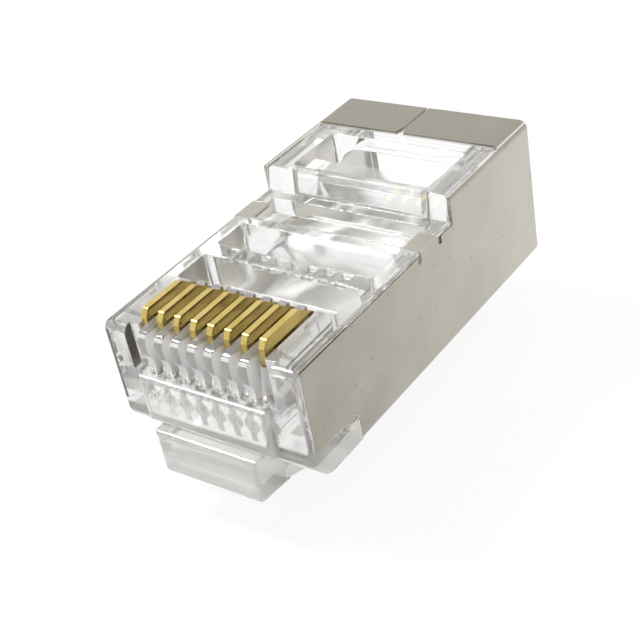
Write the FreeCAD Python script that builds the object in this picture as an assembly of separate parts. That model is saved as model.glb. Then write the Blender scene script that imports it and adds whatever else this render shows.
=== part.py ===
import FreeCAD, Part
import math
import os

# Shielded eight-way modular plug, before crimping, with its contacts upwards.
# X runs across the plug, Y from the nose to the cable end, Z up. The origin is the
# centre of the nose bar's flat face. Pieces are drawn with Z counted from the outer
# face on the latch side, and export() lowers them to the origin. Sizes are in mm.

# Overall
PLUG_WIDTH = 11.7
PLUG_LENGTH = 22.56
NOSE_HEIGHT = 6.6
REAR_HEIGHT = 8.16

# Shield sheet
SHEET = 0.2
SHEET_BEND = 0.45
SHEET_GAP = 0.02
SHIELD_SETBACK = 0.36
NOTCH_LENGTH = 3.47
NOTCH_FRONT_HEIGHT = 1.95
NOTCH_REAR_HEIGHT = 1.75
BAND_LENGTH = 3.08
SEAM_OFFSET = -0.3
SEAM_GAP = 0.12
SEAM_MOUTH = 0.5
EAR_START = 11.15
EAR_LENGTH = 1.65
EAR_REACH = 1.15
EAR_DROP = 0.9
EAR_RELIEF = 0.3
EAR_RELIEF_DEPTH = 0.55

# Nose
PILLAR_SETBACK = 0.48
COMB_SETBACK = 0.2
COMB_RISE = 0.13
COMB_ROUND = 0.6
COMB_LIP_HEIGHT = 1.1
COMB_LIP_SLOPE = 0.45
COMB_LIP_ROUND = 0.4
COMB_MOUTH_HALF = 4.4
COMB_MOUTH_DEPTH = 0.55
NOSE_BAR_HALF = 3.9
NOSE_BAR_BOTTOM = 1.45
NOSE_BAR_TOP = 4.2
NOSE_ROUND = 0.28
NOSE_TOP_ROUND = 0.5
RIM_THICKNESS = 0.15
CHIN_HEIGHT = 1.15
CHIN_RUN = 1.05
CHIN_ROUND = 0.9

# Contacts and their slots
CONTACT_COUNT = 8
CONTACT_PITCH = 1.016
BLADE_THICKNESS = 0.33
BLADE_SIDE_GAP = 0.025
GUIDE_WIDTH = 0.54
GUIDE_DEPTH = 0.37
BLADE_END_GAP = 0.04
BLADE_SETBACK = 0.74
BLADE_LENGTH = 3.84
BLADE_PROUD = 0.73
BLADE_NOSE_RUN = 0.26
BLADE_NOSE_DROP = 0.4
BLADE_NOSE_ROUND = 0.12
BLADE_REAR_RUN = 1.08
BLADE_REAR_DROP = 0.76
TINE_COUNT = 3
TINE_LENGTH = 1.05
TINE_NECK = 0.35
TINE_WIDTH = 0.62
CRIMP_TRAVEL = 1.3

# Wires, cable and strain reliefs
WIRE_HEIGHT = 2.75
WIRE_BORE_RADIUS = 0.44
WIRE_FRONT_WALL = 0.8
WIRE_ROOM_HALF = 4.35
WIRE_ROOM_HEIGHT = 2.2
WIRE_ROOM_ROUND = 0.3
POCKET_HALF = 4.85
POCKET_ROUND = 0.25
FRONT_POCKET_LENGTH = 2.26
WIRE_BAR_LENGTH = 1.02
BAR_DIMPLE_HALF = 0.31
BAR_DIMPLE_WALL = 0.16
BAR_DIMPLE_DEPTH = 0.3
REAR_POCKET_LENGTH = 2.25
RAMP_WALL = 0.7
RAMP_LENGTH = 2.05
RAMP_START_DEPTH = 0.3
RAMP_DEPTH = 0.9
CABLE_HALF = 4.15
CABLE_BOTTOM = 1.35
CABLE_ROOF = 0.84
CABLE_ROUND = 1.5
CABLE_STOP_TOP = 5.5
CABLE_LEAD_IN = 0.25
FUNNEL_RUN_IN = 0.2

# Raised section
RISE_START = 14.1
RISE_LEAN = 0.36
SHIELD_STEP = 14.28
WINDOW_WALL = 0.4
WINDOW_HALF = 4.3
WINDOW_LENGTH = 3.9
WEDGE_HALF = 3.9
WEDGE_TOP_DROP = 0.35
WEDGE_FLAT = 1.5
WEDGE_LENGTH = 3.3
WEDGE_DEPTH = 1.0
WEDGE_NOSE_DEPTH = 2.2

# Latch
LATCH_HALF = 3.05
LATCH_ROOT_HALF = 3.12
LATCH_ROOT_PROUD = 0.58
LATCH_ROOT_DROP = 1.08
LATCH_ROOT_SLOPE = 0.22
LATCH_ROOT_ROUND = 0.3
HINGE_BEHIND_NOSE = 1.68
HINGE_DROP = 0.75
HINGE_RADIUS = 0.35
HINGE_GAP = 0.05
LATCH_FREE_ANGLE = 11.0
LATCH_SHOULDER = 5.95
LATCH_LENGTH = 11.9
LATCH_TAIL_HALF = 1.625
LATCH_TAIL_ROUND = 0.8
LATCH_LOCK_START = 1.98
LATCH_LOCK_RUN = 0.4
LATCH_LOCK_RISE = 0.2
LATCH_TAIL_SINK = 0.1
LATCH_UNDERSIDE = 0.6
GRIP_COUNT = 3
GRIP_RADIUS = 0.16
GRIP_PITCH = 0.8

# Worked out from the sizes above
HALF_WIDTH = PLUG_WIDTH / 2
CORE_HALF = HALF_WIDTH - SHEET - SHEET_GAP
CORE_BOTTOM = SHEET + SHEET_GAP
CORE_TOP = REAR_HEIGHT - SHEET - SHEET_GAP
CORE_ROUND = SHEET_BEND - SHEET
CABLE_TOP = CORE_TOP - CABLE_ROOF
COMB_TOP = NOSE_HEIGHT + COMB_RISE
RIM_BOTTOM = NOSE_HEIGHT - RIM_THICKNESS
SHIELD_Y = PILLAR_SETBACK + SHIELD_SETBACK
NOTCH_Y = SHIELD_Y + NOTCH_LENGTH
BAND_Y = PLUG_LENGTH - BAND_LENGTH
BLADE_Y = PILLAR_SETBACK + BLADE_SETBACK
BLADE_REAR_Y = BLADE_Y + BLADE_LENGTH
BLADE_TOP = NOSE_HEIGHT + BLADE_PROUD
TINE_TIP = WIRE_HEIGHT + WIRE_BORE_RADIUS + BLADE_END_GAP
SLOT_FLOOR = TINE_TIP - CRIMP_TRAVEL - 2 * BLADE_END_GAP
SLOT_HALF = BLADE_THICKNESS / 2 + BLADE_SIDE_GAP
GUIDE_HALF = GUIDE_WIDTH / 2
GUIDE_FLOOR = BLADE_TOP - CRIMP_TRAVEL - BLADE_END_GAP
COMB_HALF = (CONTACT_COUNT - 1) / 2 * CONTACT_PITCH + SLOT_HALF
FRONT_POCKET_Y = BLADE_REAR_Y + BLADE_END_GAP
WIRE_BAR_Y = FRONT_POCKET_Y + FRONT_POCKET_LENGTH
REAR_POCKET_Y = WIRE_BAR_Y + WIRE_BAR_LENGTH
RAMP_Y = REAR_POCKET_Y + REAR_POCKET_LENGTH + RAMP_WALL
RISE_TOP_Y = RISE_START + RISE_LEAN
WINDOW_Y = RISE_TOP_Y + WINDOW_WALL
WIRE_ROOM_BOTTOM = WIRE_HEIGHT - WIRE_BORE_RADIUS - BLADE_END_GAP
WIRE_ROOM_TOP = WIRE_ROOM_BOTTOM + WIRE_ROOM_HEIGHT
HINGE_Z = -HINGE_DROP

# How far a cut runs past the face it opens, and how closely two positions agree
PAST = 1.0
CLOSE = 1e-6


def contact_x(index):
    """X of one contact, counted from 0 at the low X side."""
    return (index - (CONTACT_COUNT - 1) / 2) * CONTACT_PITCH


def block(x_span, y_span, z_span):
    """Rectangular block between two X, two Y and two Z values."""
    size = (x_span[1] - x_span[0], y_span[1] - y_span[0], z_span[1] - z_span[0])
    return Part.makeBox(*size, FreeCAD.Vector(x_span[0], y_span[0], z_span[0]))


def side_prism(outline, x_span):
    """Prism across X from an outline of (Y, Z) points."""
    points = [FreeCAD.Vector(x_span[0], y, z) for y, z in outline]
    face = Part.Face(Part.makePolygon(points + points[:1]))
    return face.extrude(FreeCAD.Vector(x_span[1] - x_span[0], 0, 0))


def rounded_loop(y, half, low, high, radius):
    """Closed rectangle across the plug at one Y, with round corners."""
    middle = (low + high) / 2
    reach = (half - radius, (high - low) / 2 - radius)
    diagonal = radius * math.sqrt(0.5)
    corners = []
    for side_x, side_z in ((1, 1), (-1, 1), (-1, -1), (1, -1)):
        centre = (side_x * reach[0], middle + side_z * reach[1])
        flank = FreeCAD.Vector(centre[0] + side_x * radius, y, centre[1])
        bulge = FreeCAD.Vector(centre[0] + side_x * diagonal, y, centre[1] + side_z * diagonal)
        crown = FreeCAD.Vector(centre[0], y, centre[1] + side_z * radius)
        corners.append((flank, bulge, crown) if side_x == side_z else (crown, bulge, flank))
    edges = [Part.Arc(*corner).toShape() for corner in corners]
    for corner, after in zip(corners, corners[1:] + corners[:1]):
        edges.append(Part.makeLine(corner[2], after[0]))
    return Part.Wire(Part.sortEdges(edges)[0])


def rounded_bar(y_span, half, low, high, radius):
    """Bar along Y with a round-cornered rectangular section."""
    face = Part.Face(rounded_loop(y_span[0], half, low, high, radius))
    return face.extrude(FreeCAD.Vector(0, y_span[1] - y_span[0], 0))


def both_sides(shape):
    """The shape together with its mirror image across the plug's middle plane."""
    return [shape, shape.mirror(FreeCAD.Vector(0, 0, 0), FreeCAD.Vector(1, 0, 0))]


def round_edges(shape, radius, wanted):
    """Round every straight edge that the test wanted(start, end) picks."""
    edges = []
    for edge in shape.Edges:
        start, end = edge.firstVertex().Point, edge.lastVertex().Point
        if isinstance(edge.Curve, Part.Line) and wanted(start, end):
            edges.append(edge)
    return shape.makeFillet(radius, edges)


def is_across(start, end):
    """True for an edge along X."""
    return abs(start.y - end.y) + abs(start.z - end.z) < CLOSE


def is_lengthwise(start, end):
    """True for an edge along Y."""
    return abs(start.x - end.x) + abs(start.z - end.z) < CLOSE


def is_upright(start, end):
    """True for an edge along Z."""
    return abs(start.x - end.x) + abs(start.y - end.y) < CLOSE


def rod(radius, half, y, z):
    """Round rod across the plug, as far to one side of the middle plane as to the other."""
    return Part.makeCylinder(radius, 2 * half, FreeCAD.Vector(-half, y, z), FreeCAD.Vector(1, 0, 0))


def nose_prism(half, rest):
    """Prism of a given half width behind the nose's front, whose side outline ends with the rest."""
    outline = [(PILLAR_SETBACK, NOSE_HEIGHT), (PILLAR_SETBACK, CHIN_HEIGHT)] + rest
    prism = round_edges(side_prism(outline, (-half, half)), NOSE_TOP_ROUND, is_nose_top)
    return round_edges(prism, CHIN_ROUND, is_chin_edge)


def housing_core():
    """Outer body: a core that fits in the shield, with a full-width cap, feet and rim."""
    chin_end = PILLAR_SETBACK + CHIN_RUN
    narrow = nose_prism(CORE_HALF, [
        (chin_end, CORE_BOTTOM), (PLUG_LENGTH, CORE_BOTTOM), (PLUG_LENGTH, CORE_TOP),
        (RISE_TOP_Y, CORE_TOP), (RISE_START, NOSE_HEIGHT),
    ])
    narrow = round_edges(narrow, CORE_ROUND, is_shield_corner)
    cap_end = SHIELD_Y - SHEET_GAP
    foot_end = NOTCH_Y - SHEET_GAP
    rim_end = SHIELD_STEP - SHEET_GAP
    wide = nose_prism(HALF_WIDTH, [(chin_end, 0), (rim_end, 0), (rim_end, NOSE_HEIGHT)])
    wide = round_edges(wide, NOSE_ROUND, is_cap_corner)
    bare = [
        (0, 0), (foot_end, 0), (foot_end, NOTCH_REAR_HEIGHT - SHEET_GAP),
        (cap_end, NOTCH_FRONT_HEIGHT - SHEET_GAP), (cap_end, RIM_BOTTOM),
        (rim_end, RIM_BOTTOM), (rim_end, NOSE_HEIGHT), (0, NOSE_HEIGHT),
    ]
    return narrow.fuse(wide.common(side_prism(bare, (-HALF_WIDTH, HALF_WIDTH))))


def is_nose_top(start, end):
    """True for the edge across the nose where its front meets its top."""
    return is_across(start, end) and start.y < SHIELD_Y and start.z > CHIN_HEIGHT + CLOSE


def is_chin_edge(start, end):
    """True for the two edges across the nose above and below the chin."""
    return is_across(start, end) and start.y < RISE_START and start.z < CHIN_HEIGHT + CLOSE


def is_shield_corner(start, end):
    """True for the core's long edges that lie in the shield's bends."""
    height_off = min(abs(start.z - CORE_BOTTOM), abs(start.z - CORE_TOP))
    return is_lengthwise(start, end) and height_off < CLOSE


def is_cap_corner(start, end):
    """True for the cap's outer edges: up its front, under its feet and along its rim."""
    up_front = is_upright(start, end) and start.y < PILLAR_SETBACK + CLOSE
    return up_front or is_lengthwise(start, end)


def nose_bar():
    """Bar that stands out across the nose below the comb."""
    bar = block((-NOSE_BAR_HALF, NOSE_BAR_HALF), (0, PILLAR_SETBACK + NOSE_ROUND),
                (NOSE_BAR_BOTTOM, NOSE_BAR_TOP))
    return round_edges(bar, NOSE_ROUND, lambda start, end: max(start.y, end.y) < CLOSE)


def latch_root():
    """Rigid block under the nose that carries the latch, with the hinge's round seat."""
    foot = -LATCH_ROOT_DROP - LATCH_ROOT_SLOPE
    behind_bar = NOSE_BAR_BOTTOM + NOSE_ROUND
    outline = [
        (-LATCH_ROOT_PROUD, -LATCH_ROOT_DROP), (HINGE_BEHIND_NOSE, foot),
        (HINGE_BEHIND_NOSE, CHIN_HEIGHT), (PILLAR_SETBACK + NOSE_ROUND, behind_bar),
        (NOSE_ROUND, behind_bar), (NOSE_ROUND, NOSE_BAR_BOTTOM),
        (-LATCH_ROOT_PROUD, NOSE_BAR_BOTTOM),
    ]
    root = side_prism(outline, (-LATCH_ROOT_HALF, LATCH_ROOT_HALF))
    root = round_edges(root, LATCH_ROOT_ROUND, is_root_corner)
    return root.cut(rod(HINGE_RADIUS + HINGE_GAP, LATCH_ROOT_HALF + PAST, HINGE_BEHIND_NOSE, HINGE_Z))


def is_root_corner(start, end):
    """True for the latch root's four front edges and the two long edges of its foot."""
    in_front = max(start.y, end.y) < CLOSE - LATCH_ROOT_PROUD
    along_foot = max(start.z, end.z) < CLOSE - LATCH_ROOT_DROP and min(start.y, end.y) < 0
    return in_front or along_foot


def comb_blank():
    """Block that the ribs are cut from: a round lip in front that falls back to the pillars."""
    lip_end = COMB_TOP - COMB_LIP_HEIGHT
    foot = NOSE_BAR_TOP - NOSE_ROUND
    outline = [
        (COMB_SETBACK, COMB_TOP), (COMB_SETBACK, lip_end),
        (PILLAR_SETBACK, lip_end - COMB_LIP_SLOPE), (PILLAR_SETBACK, foot),
        (FRONT_POCKET_Y, foot), (FRONT_POCKET_Y, COMB_TOP),
    ]
    blank = side_prism(outline, (-COMB_HALF, COMB_HALF))
    blank = round_edges(blank, COMB_ROUND, is_comb_top)
    return round_edges(blank, COMB_LIP_ROUND, is_comb_lip)


def is_comb_top(start, end):
    """True for the edge across the comb where its lip meets its top."""
    return is_across(start, end) and start.y < PILLAR_SETBACK and start.z > COMB_TOP - CLOSE


def is_comb_lip(start, end):
    """True for the two edges across the comb where its lip falls back."""
    below_top = start.z < COMB_TOP - COMB_LIP_HEIGHT + CLOSE
    return is_across(start, end) and start.y < SHIELD_Y and below_top and start.z > NOSE_BAR_TOP


def comb_cuts():
    """Everything cut for the comb: blade slots, the wider guides in front and above, and the mouth."""
    top = CORE_TOP + PAST
    front = -PAST
    slot_front = BLADE_Y - BLADE_END_GAP
    slot_rear = FRONT_POCKET_Y + POCKET_ROUND
    guide = [
        (front, NOSE_BAR_TOP), (PILLAR_SETBACK + GUIDE_DEPTH, NOSE_BAR_TOP),
        (slot_front, GUIDE_FLOOR), (slot_rear, GUIDE_FLOOR), (slot_rear, top), (front, top),
    ]
    cuts = []
    for index in range(CONTACT_COUNT):
        x = contact_x(index)
        cuts.append(side_prism(guide, (x - GUIDE_HALF, x + GUIDE_HALF)))
        cuts.append(block((x - SLOT_HALF, x + SLOT_HALF), (slot_front, slot_rear), (SLOT_FLOOR, top)))
    mouth = block((contact_x(CONTACT_COUNT - 1), COMB_MOUTH_HALF),
                  (front, PILLAR_SETBACK + COMB_MOUTH_DEPTH), (NOSE_BAR_TOP, top))
    return cuts + both_sides(mouth)


def pocket(y, length):
    """Open pocket from the top down into the wire room, with round upright corners."""
    room_middle = (WIRE_ROOM_BOTTOM + WIRE_ROOM_TOP) / 2
    cut = block((-POCKET_HALF, POCKET_HALF), (y, y + length), (room_middle, NOSE_HEIGHT + PAST))
    return round_edges(cut, POCKET_ROUND, is_upright)


def wire_cuts():
    """Wire bores under the blades, the room behind them, and the pockets that open it upwards."""
    bore_y = PILLAR_SETBACK + WIRE_FRONT_WALL
    bore_length = FRONT_POCKET_Y - bore_y + PAST
    cuts = [pocket(FRONT_POCKET_Y, FRONT_POCKET_LENGTH), pocket(REAR_POCKET_Y, REAR_POCKET_LENGTH)]
    for index in range(CONTACT_COUNT):
        start = FreeCAD.Vector(contact_x(index), bore_y, WIRE_HEIGHT)
        cuts.append(Part.makeCylinder(WIRE_BORE_RADIUS, bore_length, start, FreeCAD.Vector(0, 1, 0)))
    cuts.append(rounded_bar((FRONT_POCKET_Y, RAMP_Y + RAMP_LENGTH / 2), WIRE_ROOM_HALF,
                            WIRE_ROOM_BOTTOM, WIRE_ROOM_TOP, WIRE_ROOM_ROUND))
    return cuts


def bar_dimples():
    """Row of square dimples along the wire bar's top, one over each wire."""
    y_span = (WIRE_BAR_Y + BAR_DIMPLE_WALL, REAR_POCKET_Y - BAR_DIMPLE_WALL)
    z_span = (NOSE_HEIGHT - BAR_DIMPLE_DEPTH, NOSE_HEIGHT + PAST)
    dimples = []
    for index in range(CONTACT_COUNT):
        x = contact_x(index)
        dimples.append(block((x - BAR_DIMPLE_HALF, x + BAR_DIMPLE_HALF), y_span, z_span))
    return dimples


def cable_cuts():
    """Way in for the cable: lead-in, jacket room and the funnel down to the wire room."""
    jacket = rounded_bar((WINDOW_Y, PLUG_LENGTH + PAST), CABLE_HALF, CABLE_BOTTOM, CABLE_TOP, CABLE_ROUND)
    wider = 2 * CABLE_LEAD_IN
    mouth = Part.makeLoft([
        rounded_loop(PLUG_LENGTH - CABLE_LEAD_IN, CABLE_HALF, CABLE_BOTTOM, CABLE_TOP, CABLE_ROUND),
        rounded_loop(PLUG_LENGTH + CABLE_LEAD_IN, CABLE_HALF + wider, CABLE_BOTTOM - wider,
                     CABLE_TOP + wider, CABLE_ROUND + wider)], True)
    funnel = Part.makeLoft([
        rounded_loop(RAMP_Y, WIRE_ROOM_HALF, WIRE_ROOM_BOTTOM, WIRE_ROOM_TOP, WIRE_ROOM_ROUND),
        rounded_loop(WINDOW_Y + FUNNEL_RUN_IN, CABLE_HALF, CABLE_BOTTOM, CABLE_STOP_TOP,
                     CABLE_ROUND)], True)
    return [jacket.cut(cable_wedge()), mouth, funnel]


def ramp_cut():
    """Shallow recess whose floor runs down towards the raised section."""
    ramp_end = RAMP_Y + RAMP_LENGTH
    outline = [
        (RAMP_Y, NOSE_HEIGHT + PAST), (RAMP_Y, NOSE_HEIGHT - RAMP_START_DEPTH),
        (ramp_end, NOSE_HEIGHT - RAMP_DEPTH), (ramp_end, NOSE_HEIGHT + PAST),
    ]
    return side_prism(outline, (-POCKET_HALF, POCKET_HALF))


def window_cut():
    """Window through the raised roof, less the wedge that is pressed onto the cable."""
    window = block((-WINDOW_HALF, WINDOW_HALF), (WINDOW_Y, WINDOW_Y + WINDOW_LENGTH),
                   (CABLE_STOP_TOP, CORE_TOP + PAST))
    return round_edges(window, POCKET_ROUND, is_upright).cut(cable_wedge())


def cable_wedge():
    """Wedge that hangs in the window from the front wall by its thin end."""
    top = CORE_TOP - WEDGE_TOP_DROP
    outline = [
        (RISE_TOP_Y, top), (WINDOW_Y + WEDGE_FLAT, top),
        (WINDOW_Y + WEDGE_LENGTH, CORE_TOP - WEDGE_NOSE_DEPTH),
        (WINDOW_Y + WEDGE_FLAT, CORE_TOP - WEDGE_NOSE_DEPTH), (RISE_TOP_Y, top - WEDGE_DEPTH),
    ]
    return side_prism(outline, (-WEDGE_HALF, WEDGE_HALF))


def ear_section(y_start, length, grow):
    """Folded ear: flat part on the top edge, then bent down; grow makes it the ear's seat."""
    top = NOSE_HEIGHT
    outer = HALF_WIDTH
    inner = outer - EAR_REACH
    under = top - SHEET - grow
    points = [
        (outer, top - SHEET_BEND), (outer, top), (inner - grow, top),
        (inner - grow, top - EAR_DROP - grow), (inner + SHEET + grow, top - EAR_DROP - grow),
        (inner + SHEET + grow, under), (outer - SHEET - grow, under),
        (outer - SHEET - grow, top - SHEET_BEND),
    ]
    corners = [FreeCAD.Vector(x, y_start, z) for x, z in points]
    face = Part.Face(Part.makePolygon(corners + corners[:1]))
    return face.extrude(FreeCAD.Vector(0, length, 0))


def housing():
    """Clear housing: one moulding with comb, pockets, ramp, cable way and latch root."""
    body = housing_core().cut(wire_cuts() + bar_dimples() + cable_cuts() + [ramp_cut(), window_cut()])
    body = body.fuse([nose_bar(), comb_blank(), latch_root()]).cut(comb_cuts())
    seat_start = EAR_START - SHEET_GAP
    seat = ear_section(seat_start, EAR_LENGTH + 2 * SHEET_GAP, SHEET_GAP)
    return body.cut(both_sides(seat)).removeSplitter()


def sheet_tube(y_span, height):
    """Closed sheet tube around the core, of a given outer height."""
    outer = rounded_bar(y_span, HALF_WIDTH, 0, height, SHEET_BEND)
    inner = rounded_bar((y_span[0] - PAST, y_span[1] + PAST), HALF_WIDTH - SHEET,
                        SHEET, height - SHEET, SHEET_BEND - SHEET)
    return outer.cut(inner)


def seam_cut():
    """Seam where the two wings of the band meet, wider at its front."""
    middle = HALF_WIDTH + SEAM_OFFSET
    outline = [
        (middle - SEAM_MOUTH / 2, BAND_Y - PAST), (middle + SEAM_MOUTH / 2, BAND_Y - PAST),
        (middle + SEAM_MOUTH / 2, BAND_Y), (middle + SEAM_GAP / 2, BAND_Y + SEAM_MOUTH),
        (middle + SEAM_GAP / 2, PLUG_LENGTH + PAST), (middle - SEAM_GAP / 2, PLUG_LENGTH + PAST),
        (middle - SEAM_GAP / 2, BAND_Y + SEAM_MOUTH), (middle - SEAM_MOUTH / 2, BAND_Y),
    ]
    points = [FreeCAD.Vector(x - HALF_WIDTH, y, CORE_TOP - PAST) for x, y in outline]
    face = Part.Face(Part.makePolygon(points + points[:1]))
    return face.extrude(FreeCAD.Vector(0, 0, 3 * PAST))


def shield():
    """Shield folded from one sheet: trough, band with its seam, side notches and two ears."""
    trough = sheet_tube((SHIELD_Y, BAND_Y), REAR_HEIGHT + SHEET_BEND)
    front = SHIELD_Y - PAST
    side_top = RIM_BOTTOM - SHEET_GAP
    above = [
        (front, side_top), (SHIELD_STEP, side_top), (SHIELD_STEP, CORE_TOP),
        (BAND_Y + PAST, CORE_TOP), (BAND_Y + PAST, REAR_HEIGHT + PAST), (front, REAR_HEIGHT + PAST),
    ]
    notch = [
        (front, NOTCH_FRONT_HEIGHT), (SHIELD_Y, NOTCH_FRONT_HEIGHT), (NOTCH_Y, NOTCH_REAR_HEIGHT),
        (NOTCH_Y, -PAST), (front, -PAST),
    ]
    across = (-PLUG_WIDTH, PLUG_WIDTH)
    body = trough.cut([side_prism(above, across), side_prism(notch, across)])
    body = body.fuse(sheet_tube((BAND_Y, PLUG_LENGTH), REAR_HEIGHT)).cut(seam_cut())
    relief_height = (NOSE_HEIGHT - EAR_RELIEF_DEPTH, NOSE_HEIGHT + PAST)
    for start in (EAR_START - EAR_RELIEF, EAR_START + EAR_LENGTH):
        body = body.cut(block(across, (start, start + EAR_RELIEF), relief_height))
    ear = round_edges(ear_section(EAR_START, EAR_LENGTH, 0), SHEET / 2, is_ear_fold)
    return body.fuse(both_sides(ear)).removeSplitter()


def is_ear_fold(start, end):
    """True for the ear's two outer fold lines."""
    return is_lengthwise(start, end) and abs(start.z - NOSE_HEIGHT) < CLOSE


def contact(index):
    """One blade: flat plate with a bent-back nose and piercing tines below."""
    rear_corner = BLADE_REAR_Y - BLADE_REAR_RUN
    shoulder = TINE_TIP + TINE_LENGTH
    neck = shoulder - TINE_NECK
    outline = [
        (BLADE_Y, shoulder), (BLADE_Y, BLADE_TOP - BLADE_NOSE_DROP),
        (BLADE_Y + BLADE_NOSE_RUN, BLADE_TOP), (rear_corner, BLADE_TOP),
        (BLADE_REAR_Y, BLADE_TOP - BLADE_REAR_DROP), (BLADE_REAR_Y, shoulder),
    ]
    pitch = BLADE_LENGTH / (TINE_COUNT + 1)
    for number in range(TINE_COUNT, 0, -1):
        middle = BLADE_Y + number * pitch
        rear, front = middle + TINE_WIDTH / 2, middle - TINE_WIDTH / 2
        outline.extend([(rear, shoulder), (rear, neck), (middle, TINE_TIP), (front, neck),
                        (front, shoulder)])
    x = contact_x(index)
    blade = side_prism(outline, (x - BLADE_THICKNESS / 2, x + BLADE_THICKNESS / 2))
    return round_edges(blade, BLADE_NOSE_ROUND, is_blade_bend)


def is_blade_bend(start, end):
    """True for the edges across the blade at the two bends of its nose and its rear corner."""
    return is_across(start, end) and start.z > BLADE_TOP - BLADE_NOSE_DROP - CLOSE


def latch_plan():
    """The lever seen from below: wide to the locking shoulders, then the narrow tail."""
    height = (-PLUG_WIDTH, PLUG_WIDTH)
    wide = block((-LATCH_HALF, LATCH_HALF), (-HINGE_RADIUS, LATCH_SHOULDER), height)
    tail = block((-LATCH_TAIL_HALF, LATCH_TAIL_HALF), (0, LATCH_LENGTH), height)
    tail = round_edges(tail, LATCH_TAIL_ROUND,
                       lambda start, end: is_upright(start, end) and start.y > LATCH_SHOULDER)
    return wide.fuse(tail)


def latch_lever():
    """Spring lever of the latch, drawn flat at its hinge and then let down to its free angle."""
    lock_top = HINGE_RADIUS + LATCH_LOCK_RISE
    tail_top = HINGE_RADIUS - LATCH_TAIL_SINK
    outline = [
        (0, HINGE_RADIUS), (LATCH_LOCK_START, HINGE_RADIUS),
        (LATCH_LOCK_START + LATCH_LOCK_RUN, lock_top), (LATCH_SHOULDER, lock_top),
        (LATCH_SHOULDER, tail_top), (LATCH_LENGTH, tail_top), (LATCH_LENGTH, -LATCH_UNDERSIDE),
        (LATCH_LOCK_START, -LATCH_UNDERSIDE), (0, -HINGE_RADIUS),
    ]
    lever = side_prism(outline, (-LATCH_HALF, LATCH_HALF))
    lever = lever.fuse(rod(HINGE_RADIUS, LATCH_HALF, 0, 0)).common(latch_plan())
    for number in range(GRIP_COUNT):
        y = LATCH_LENGTH - LATCH_TAIL_ROUND - number * GRIP_PITCH
        lever = lever.fuse(rod(GRIP_RADIUS, LATCH_TAIL_HALF - GRIP_RADIUS, y, -LATCH_UNDERSIDE))
    lever = lever.removeSplitter()
    lever.rotate(FreeCAD.Vector(0, 0, 0), FreeCAD.Vector(1, 0, 0), -LATCH_FREE_ANGLE)
    lever.translate(FreeCAD.Vector(0, HINGE_BEHIND_NOSE, HINGE_Z))
    return lever


def export(name, shape):
    """Lower one piece to the frame's origin and write it."""
    placed = shape.copy()
    placed.translate(FreeCAD.Vector(0, 0, -NOSE_HEIGHT / 2))
    placed.exportStep(os.path.join("parts", name + ".step"))
    print(name, "valid", placed.isValid(), "solids", len(placed.Solids),
          "volume", round(placed.Volume, 3))


os.makedirs("parts", exist_ok=True)
export("housing", housing())
export("shield", shield())
export("latch_lever", latch_lever())
for number in range(CONTACT_COUNT):
    export("contact_" + str(number + 1), contact(number))
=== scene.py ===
import math

import bpy
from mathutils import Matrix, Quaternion, Vector


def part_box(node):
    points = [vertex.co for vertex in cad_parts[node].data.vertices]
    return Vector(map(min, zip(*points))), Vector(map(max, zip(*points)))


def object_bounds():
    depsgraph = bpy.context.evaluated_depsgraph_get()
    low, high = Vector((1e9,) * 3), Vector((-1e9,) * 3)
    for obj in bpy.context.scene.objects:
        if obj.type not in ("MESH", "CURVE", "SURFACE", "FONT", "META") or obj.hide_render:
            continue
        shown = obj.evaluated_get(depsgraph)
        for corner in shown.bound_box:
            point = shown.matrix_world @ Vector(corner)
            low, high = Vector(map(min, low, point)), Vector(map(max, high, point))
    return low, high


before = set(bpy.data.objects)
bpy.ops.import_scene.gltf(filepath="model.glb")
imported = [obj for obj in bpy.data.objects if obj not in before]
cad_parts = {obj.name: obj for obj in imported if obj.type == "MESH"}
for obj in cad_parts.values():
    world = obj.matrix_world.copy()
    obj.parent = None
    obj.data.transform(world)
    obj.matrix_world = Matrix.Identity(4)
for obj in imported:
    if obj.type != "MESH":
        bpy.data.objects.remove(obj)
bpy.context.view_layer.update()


# Clear housing and latch
# One polycarbonate moulding, clear with a faint warm cast at the nose. The outside is
# polished, the cores that form the pockets, slots and bores leave a slightly softer surface,
# and the comb, the nose bar, the chin and the latch root are satin.

# Parts of the moulding, each as the box between two corners in the part's frame
hollows = ((-0.00487, 0.0002, -0.0030), (0.00487, 0.0225, 0.0033))
comb = ((-0.00425, 0.0003, 0.0012), (0.00425, 0.0020, 0.0033))
latch_root = ((-0.0031, -0.0020, -0.0060), (0.0031, 0.0040, -0.00331))
chin = ((-0.0059, -0.0010, -0.00331), (0.0059, 0.0045, -0.0020))
nose_bar = ((-0.0040, -0.0010, -0.0020), (0.0040, 0.0003, 0.0009))

satin_shares = ((comb, 1.0), (latch_root, 0.8), (chin, 0.7), (nose_bar, 0.5))
satin_roughness = 0.2
satin_clarity = 0.58
hollow_roughness = 0.09
nose_cast = ((0.90, 0.892, 0.865), (0.93, 0.922, 0.90))
water_clear = ((0.994, 0.994, 0.990), (1.0, 1.0, 0.998))
cast_fades_from, cast_fades_to = 0.004, 0.010


def fresh_material(name):
    """A new node material and its Principled shader, already wired to the output."""
    material = bpy.data.materials.new(name)
    material.use_nodes = True
    shader = material.node_tree.nodes["Principled BSDF"]
    return material, shader


def place_on_object(tree, stretch=(1.0, 1.0, 1.0)):
    """The object's own coordinates, stretched along its axes."""
    where = tree.nodes.new("ShaderNodeTexCoord")
    spread = tree.nodes.new("ShaderNodeMapping")
    spread.inputs["Scale"].default_value = stretch
    tree.links.new(where.outputs["Object"], spread.inputs["Vector"])
    return spread.outputs["Vector"]


def own_axes(tree):
    """X, Y and Z of the object's own coordinates, one output each."""
    axes = tree.nodes.new("ShaderNodeSeparateXYZ")
    tree.links.new(place_on_object(tree), axes.inputs["Vector"])
    return axes.outputs


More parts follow.
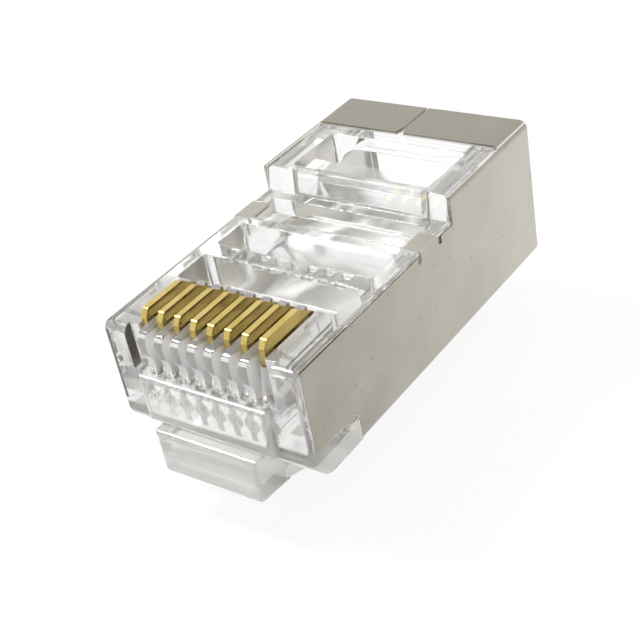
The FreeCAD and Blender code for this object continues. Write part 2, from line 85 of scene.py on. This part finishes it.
def noise(tree, scale, detail, stretch=(1.0, 1.0, 1.0)):
    """Noise over the object's own coordinates, with scale in cells per metre."""
    cells = tree.nodes.new("ShaderNodeTexNoise")
    cells.inputs["Scale"].default_value = scale
    cells.inputs["Detail"].default_value = detail
    tree.links.new(place_on_object(tree, stretch), cells.inputs["Vector"])
    return cells.outputs["Fac"]


def arithmetic(tree, operation, *values):
    """One operation on two or three values, each a socket or a number."""
    node = tree.nodes.new("ShaderNodeMath")
    node.operation = operation
    for socket, value in zip(node.inputs, values):
        if isinstance(value, (int, float)):
            socket.default_value = value
        else:
            tree.links.new(value, socket)
    return node.outputs["Value"]


def blend_colours(tree, factor, low, high, edges=(0.35, 0.65)):
    """Colour that runs from low to high as the factor passes between the two edges."""
    ramp = tree.nodes.new("ShaderNodeValToRGB")
    ramp.color_ramp.elements[0].position, ramp.color_ramp.elements[1].position = edges
    ramp.color_ramp.elements[0].color = (*low, 1.0)
    ramp.color_ramp.elements[1].color = (*high, 1.0)
    tree.links.new(factor, ramp.inputs["Fac"])
    return ramp.outputs["Color"]


def remap(tree, factor, low, high, start=0.0, end=1.0):
    """The factor's run from start to end spread over low to high, and level beyond them."""
    span = tree.nodes.new("ShaderNodeMapRange")
    span.inputs["From Min"].default_value = start
    span.inputs["From Max"].default_value = end
    span.inputs["To Min"].default_value = low
    span.inputs["To Max"].default_value = high
    tree.links.new(factor, span.inputs["Value"])
    return span.outputs["Result"]


def relief(tree, factor, depth, strength, rounding=0.0):
    """Normal of a surface that rises by depth metres where the factor is 1, with eased edges."""
    bump = tree.nodes.new("ShaderNodeBump")
    bump.inputs["Distance"].default_value = depth
    bump.inputs["Strength"].default_value = strength
    tree.links.new(factor, bump.inputs["Height"])
    if rounding:
        ease = tree.nodes.new("ShaderNodeBevel")
        ease.samples = 6
        ease.inputs["Radius"].default_value = rounding
        tree.links.new(ease.outputs["Normal"], bump.inputs["Normal"])
    return bump.outputs["Normal"]


def within(tree, low, high):
    """1 inside the box between two corners and 0 outside it, from the object's coordinates."""
    inside = 1.0
    for axis, least, most in zip(own_axes(tree), low, high):
        above = arithmetic(tree, "GREATER_THAN", axis, least)
        below = arithmetic(tree, "LESS_THAN", axis, most)
        both = arithmetic(tree, "MULTIPLY", above, below)
        inside = arithmetic(tree, "MULTIPLY", inside, both)
    return inside


def along(tree, axis, start, end):
    """0 to 1 as one of the object's own coordinates runs from start to end."""
    return remap(tree, own_axes(tree)[axis], 0.0, 1.0, start, end)


def mix_colours(tree, factor, first, second):
    """The first colour where the factor is 0 and the second where it is 1."""
    mix = tree.nodes.new("ShaderNodeMix")
    mix.data_type = "RGBA"
    # The node has its sockets once for each type of data; these are the ones for colours.
    share, low_end, high_end, result = mix.inputs[0], mix.inputs[6], mix.inputs[7], mix.outputs[2]
    tree.links.new(factor, share)
    for socket, colour in ((low_end, first), (high_end, second)):
        if isinstance(colour, tuple):
            socket.default_value = (*colour, 1.0)
        else:
            tree.links.new(colour, socket)
    return result


def satin_amount(tree):
    """How satin the moulding is at each place: the largest share of the parts that hold it."""
    satin = 0.0
    for box, share in satin_shares:
        part = arithmetic(tree, "MULTIPLY", within(tree, *box), share)
        satin = arithmetic(tree, "MAXIMUM", satin, part)
    return satin


def clear_polycarbonate(name, smoothest, roughest, clarity):
    """Clear moulded polycarbonate, softer in the hollows and satin in a few places."""
    material, shader = fresh_material(name)
    tree = material.node_tree
    flow = noise(tree, scale=260.0, detail=3.0)
    fine = noise(tree, scale=1400.0, detail=2.0)
    cored = within(tree, *hollows)
    satin = satin_amount(tree)

    past_nose = along(tree, "Y", cast_fades_from, cast_fades_to)
    colourless = arithmetic(tree, "MAXIMUM", cored, past_nose)
    warm = blend_colours(tree, flow, *nose_cast)
    clean = blend_colours(tree, flow, *water_clear)
    tree.links.new(mix_colours(tree, colourless, warm, clean), shader.inputs["Base Color"])

    rough = remap(tree, fine, smoothest, roughest)
    rough = arithmetic(tree, "MULTIPLY_ADD", cored, hollow_roughness, rough)
    rough = arithmetic(tree, "MULTIPLY_ADD", satin, satin_roughness, rough)
    tree.links.new(rough, shader.inputs["Roughness"])
    clearness = remap(tree, satin, clarity, satin_clarity)
    tree.links.new(clearness, shader.inputs["Transmission Weight"])
    shader.inputs["IOR"].default_value = 1.585
    waves = relief(tree, flow, depth=0.00003, strength=0.3, rounding=0.00009)
    tree.links.new(waves, shader.inputs["Normal"])
    return material


def give(node, material):
    """Put one material in every slot of a CAD node."""
    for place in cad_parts[node].material_slots:
        place.material = material


polished = clear_polycarbonate("clear_polycarbonate", smoothest=0.02, roughest=0.05, clarity=0.995)
give("housing", polished)
softer = clear_polycarbonate("satin_polycarbonate", smoothest=0.08, roughest=0.16, clarity=0.96)
give("latch_lever", softer)


# Shield
# One blank of thin brass sheet, nickel-plated to a warm satin grey and folded round the
# housing. Handling leaves cloudy patches and specks on the outside, which also carries painted
# light towards the rear and painted shade on top, and the cut edges are painted dark as shade.
# Inside the fold the floor is painted bright as light and the side walls carry painted shade
# towards the nose.

shield_low, shield_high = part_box("shield")
sheet_thickness = 0.0002
side_top = 0.00313          # upper edge of the sides in front of the raised section
raised_start = 0.01428
shaded_length = 0.009       # how far back from the nose the inner walls are darkened

dull_grey, bright_grey = (0.335, 0.313, 0.262), (0.565, 0.54, 0.475)
# Painted light brightens the outer faces towards the rear, and painted shade darkens their top.
painted_light_rearwards, cloud_brightening, painted_shade_on_top = 0.6, 0.5, 0.7
speck_threshold, speck_strength = 0.815, 0.3
speck_brown = (0.12, 0.11, 0.09)
# Painted shade: the cut edges are coloured dark brown for the shadow line along the sheet's edge.
painted_edge_shade = (0.16, 0.145, 0.11)
# Painted light: the floor inside the fold is coloured near white.
painted_light_floor = ((0.92, 0.92, 0.90), (0.96, 0.96, 0.94))
# Painted shade: the inner side walls run from dark brown at the nose to grey further back.
painted_shade_at_nose, wall_behind = (0.20, 0.185, 0.15), (0.74, 0.72, 0.66)


def outer_tone(tree, cloud):
    """Grey of the outer faces: painted shade at the nose and on top, cloudy, with small dark
    specks.
    """
    rearwards = along(tree, "Y", 0.0, shield_high.y)
    # Painted light towards the rear and painted shade on the top band.
    crown = along(tree, "Z", shield_high.z - 0.0005, shield_high.z - 0.0001)
    tone = arithmetic(tree, "MULTIPLY", rearwards, painted_light_rearwards)
    tone = arithmetic(tree, "MULTIPLY_ADD", cloud, cloud_brightening, tone)
    tone = arithmetic(tree, "MULTIPLY_ADD", crown, -painted_shade_on_top, tone)
    grey = blend_colours(tree, tone, dull_grey, bright_grey, edges=(0.15, 0.85))
    grit = noise(tree, scale=4200.0, detail=0.0)
    speck = arithmetic(tree, "GREATER_THAN", grit, speck_threshold)
    speck = arithmetic(tree, "MULTIPLY", speck, speck_strength)
    return mix_colours(tree, speck, grey, speck_brown)


def inner_tone(tree, cloud):
    """Inner faces: a floor painted white as light, and walls of painted shade, brown at the nose
    to grey.
    """
    half = shield_high.x - 1.5 * sheet_thickness
    front, rear = shield_low.y - sheet_thickness, shield_high.y + sheet_thickness
    floor = within(tree, (-half, front, shield_low.z), (half, rear, shield_high.z))
    # Painted shade on the inner walls, darkest at the nose, and a floor of painted light.
    wall = mix_colours(tree, along(tree, "Y", 0.0, shaded_length), painted_shade_at_nose, wall_behind)
    return mix_colours(tree, floor, wall, blend_colours(tree, cloud, *painted_light_floor))


def inside_fold(tree):
    """1 on the inner faces, in the trough and under the raised section, and 0 outside them."""
    skin = sheet_thickness / 2
    half = shield_high.x - skin
    front, rear = shield_low.y - sheet_thickness, shield_high.y + sheet_thickness
    trough = within(tree, (-half, front, shield_low.z + skin), (half, rear, side_top))
    raised = within(tree, (-half, raised_start, side_top), (half, rear, shield_high.z - skin))
    return arithmetic(tree, "MAXIMUM", trough, raised)


def sheared_edges(tree):
    """1 on the cut edges, along the top of the sides and round the front, and 0 elsewhere."""
    burr = sheet_thickness / 20
    half, front = shield_high.x, shield_low.y
    top = within(tree, (-half, front, side_top - burr), (half, raised_start, side_top + burr))
    nose = within(tree, (-half, front - burr, shield_low.z), (half, front + burr, shield_high.z))
    return arithmetic(tree, "MAXIMUM", top, nose)


def nickel_plate():
    """Warm satin nickel with painted light in the fold, painted edge shade and a grain along the
    plug.
    """
    material, shader = fresh_material("nickel_plate")
    tree = material.node_tree
    cloud = noise(tree, scale=320.0, detail=4.0)
    tone = mix_colours(tree, inside_fold(tree), outer_tone(tree, cloud), inner_tone(tree, cloud))
    # The cut edges get a dark brown of painted shade.
    tone = mix_colours(tree, sheared_edges(tree), tone, painted_edge_shade)
    tree.links.new(tone, shader.inputs["Base Color"])
    tree.links.new(remap(tree, cloud, low=0.26, high=0.40), shader.inputs["Roughness"])
    grain = noise(tree, scale=900.0, detail=3.0, stretch=(1.0, 0.12, 1.0))
    tree.links.new(relief(tree, grain, depth=0.00001, strength=0.25), shader.inputs["Normal"])
    shader.inputs["Metallic"].default_value = 1.0
    return material


give("shield", nickel_plate())


# Contacts
# Eight stamped phosphor-bronze blades with gold plating, held in the comb's slots. The gold
# is brightest along the top edge, and painted shade turns the blades browner towards their tines.

plate_gold = ((0.62, 0.47, 0.14), (0.72, 0.555, 0.20))
# Painted shade: the blades turn brown towards their lower ends.
painted_shade_brown = (0.40, 0.24, 0.07)
brown_below, gold_above = 0.0008, 0.0036


def gold_plate():
    """Polished gold plating with slight tone changes, painted shade low down, and fine stamping
    marks.
    """
    material, shader = fresh_material("gold_plate")
    tree = material.node_tree
    patch = noise(tree, scale=700.0, detail=3.0)
    upwards = along(tree, "Z", brown_below, gold_above)
    # Painted shade: brown low on the blades, gold higher up.
    tone = mix_colours(tree, upwards, painted_shade_brown, blend_colours(tree, patch, *plate_gold))
    tree.links.new(tone, shader.inputs["Base Color"])
    tree.links.new(remap(tree, patch, low=0.10, high=0.24), shader.inputs["Roughness"])
    marks = noise(tree, scale=2600.0, detail=2.0, stretch=(1.0, 0.2, 1.0))
    tree.links.new(relief(tree, marks, depth=0.000015, strength=0.5), shader.inputs["Normal"])
    shader.inputs["Metallic"].default_value = 1.0
    return material


gold = gold_plate()
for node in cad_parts:
    if node.startswith("contact_"):
        give(node, gold)


# Studio
# A white table in white surroundings under two soft lamps. Metal and clear plastic see
# the same white as the eye does.

def white_light(tree, shade, strength):
    """Strength for rays from the eye, from gloss or through plastic, and shade for all others."""
    path = tree.nodes.new("ShaderNodeLightPath").outputs
    seen = arithmetic(tree, "MAXIMUM", path["Is Camera Ray"], path["Is Glossy Ray"])
    seen = arithmetic(tree, "MAXIMUM", seen, path["Is Transmission Ray"])
    return remap(tree, seen, shade, strength)


def white_surroundings():
    """White world, at full strength to the eye, to gloss and through plastic."""
    world = bpy.data.worlds.new("white_surroundings")
    world.use_nodes = True
    bpy.context.scene.world = world
    tree = world.node_tree
    paint = tree.nodes["Background"]
    paint.inputs["Color"].default_value = (1.0, 1.0, 1.0, 1.0)
    tree.links.new(white_light(tree, shade=0.6, strength=1.0), paint.inputs["Strength"])


def white_table(low, reach):
    """Round white table top at the plug's lowest point."""
    bpy.ops.mesh.primitive_circle_add(vertices=96, radius=reach, fill_type="NGON",
                                      location=(0, 0, low))
    table = bpy.context.object
    table.name = "white_table"
    material, shader = fresh_material("white_table")
    tree = material.node_tree
    shader.inputs["Roughness"].default_value = 0.9
    shader.inputs["Specular IOR Level"].default_value = 0.0
    mottle = noise(tree, scale=30.0, detail=4.0)
    tone = blend_colours(tree, mottle, (0.90, 0.90, 0.90), (0.92, 0.92, 0.92))
    tree.links.new(tone, shader.inputs["Base Color"])
    glow = tree.nodes.new("ShaderNodeEmission")
    mix = tree.nodes.new("ShaderNodeMixShader")
    tree.links.new(white_light(tree, shade=0.0, strength=0.9), mix.inputs["Fac"])
    tree.links.new(shader.outputs["BSDF"], mix.inputs[1])
    tree.links.new(glow.outputs["Emission"], mix.inputs[2])
    tree.links.new(mix.outputs["Shader"], tree.nodes["Material Output"].inputs["Surface"])
    table.data.materials.append(material)


def seen_from(azimuth, elevation):
    """Direction to a viewpoint, in degrees round from the nose towards +X and up from level."""
    turn, rise = math.radians(azimuth), math.radians(elevation)
    level = math.cos(rise)
    return Vector((math.sin(turn) * level, -math.cos(turn) * level, math.sin(rise)))


def soft_lamp(name, azimuth, elevation, distance, size, power, target):
    """Square soft lamp aimed at the target, placed like a camera by its two angles."""
    back = seen_from(azimuth, elevation)
    data = bpy.data.lights.new(name, "AREA")
    data.size = size
    data.energy = power
    lamp = bpy.data.objects.new(name, data)
    bpy.context.collection.objects.link(lamp)
    lamp.location = target + back * distance
    lamp.rotation_mode = "QUATERNION"
    lamp.rotation_quaternion = (-back).to_track_quat("-Z", "Y")


def portrait_camera():
    """Camera above the nose on the contact side, turned a little about its own axis."""
    look = -seen_from(azimuth=41.15, elevation=33.09)
    roll = Quaternion((0, 0, 1), math.radians(-11.56))
    data = bpy.data.cameras.new("camera")
    data.lens = 72.83
    data.clip_start, data.clip_end = 0.005, 5.0
    camera = bpy.data.objects.new("camera", data)
    bpy.context.collection.objects.link(camera)
    camera.location = (0.03719, -0.03296, 0.03573)
    camera.rotation_mode = "QUATERNION"
    camera.rotation_quaternion = look.to_track_quat("-Z", "Y") @ roll
    bpy.context.scene.camera = camera


low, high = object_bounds()
centre = (low + high) / 2
white_surroundings()
white_table(low.z, reach=0.6)
soft_lamp("lamp_above", azimuth=120.0, elevation=62.0, distance=0.25, size=0.12, power=0.18,
          target=centre)
soft_lamp("lamp_left", azimuth=-76.0, elevation=55.0, distance=0.25, size=0.05, power=0.6,
          target=centre)
portrait_camera()
bpy.context.scene.view_settings.view_transform = "Standard"
bpy.context.scene.cycles.max_bounces = 32
bpy.context.scene.cycles.transmission_bounces = 32
bpy.context.scene.cycles.glossy_bounces = 16
